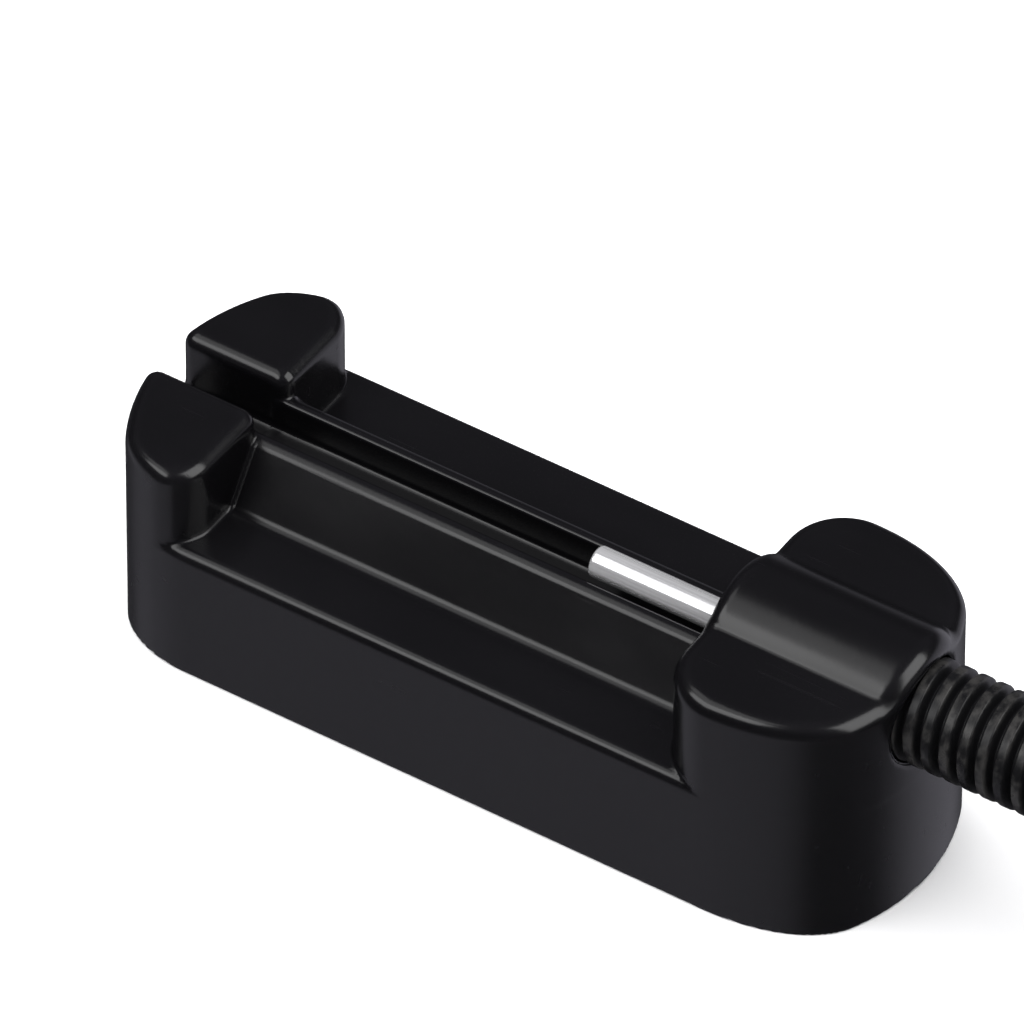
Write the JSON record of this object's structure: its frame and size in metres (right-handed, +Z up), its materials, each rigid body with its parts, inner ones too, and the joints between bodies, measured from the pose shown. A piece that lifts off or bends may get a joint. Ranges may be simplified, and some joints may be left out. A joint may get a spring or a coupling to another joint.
{
  "type": "watch bracelet link pin press",
  "caption": "Bench tool that drives link pins out of a watch bracelet: a grooved black block with a bracelet channel, horns, a steel guide sleeve and needle, and a screw with a fluted knob.",
  "frame": {"origin": "middle of the block's underside, on the surface that the tool stands on", "axes": "+X along the screw axis from the horns to the knob, +Y towards the rear ledge, +Z up"},
  "size_m": [0.0985, 0.023, 0.0244],
  "materials": {
    "block_plastic": "satin-gloss moulded black",
    "polished_steel": "polished steel, drawn lengthwise",
    "needle_steel": "ground hardened steel",
    "collar_brass": "turned",
    "black_steel": "black oxide, satin",
    "knob_plastic": "fine-textured moulded black",
    "cap_plastic": "satin moulded black"
  },
  "bodies": {
    "block": {"body": "block_plastic", "rib_foot": "block_plastic", "rib_rim_front": "block_plastic", "rib_rim_rear": "block_plastic", "guide_sleeve": "polished_steel"},
    "needle": {"ejector_needle": "needle_steel"},
    "screw": {"drive_screw": "black_steel", "needle_collar": "collar_brass", "thrust_pad": "needle_steel", "knob": "knob_plastic", "knob_cross_pin": "needle_steel", "knob_cap": "cap_plastic"}
  },
  "joints": [
    {"name": "needle_feed", "type": "slide", "parent": "block", "child": "needle", "axis": [-1, 0, 0], "range_m": [0, 0.0075]},
    {"name": "screw_turn", "type": "hinge", "parent": "needle", "child": "screw", "pos_m": [0.032, 0, 0.0165], "axis": [-1, 0, 0], "range_deg": [0, 1800]}
  ],
  "couplings": [
    {"joint": "needle_feed", "follows": "screw_turn", "m_per_rad": 0.00023873}
  ]
}
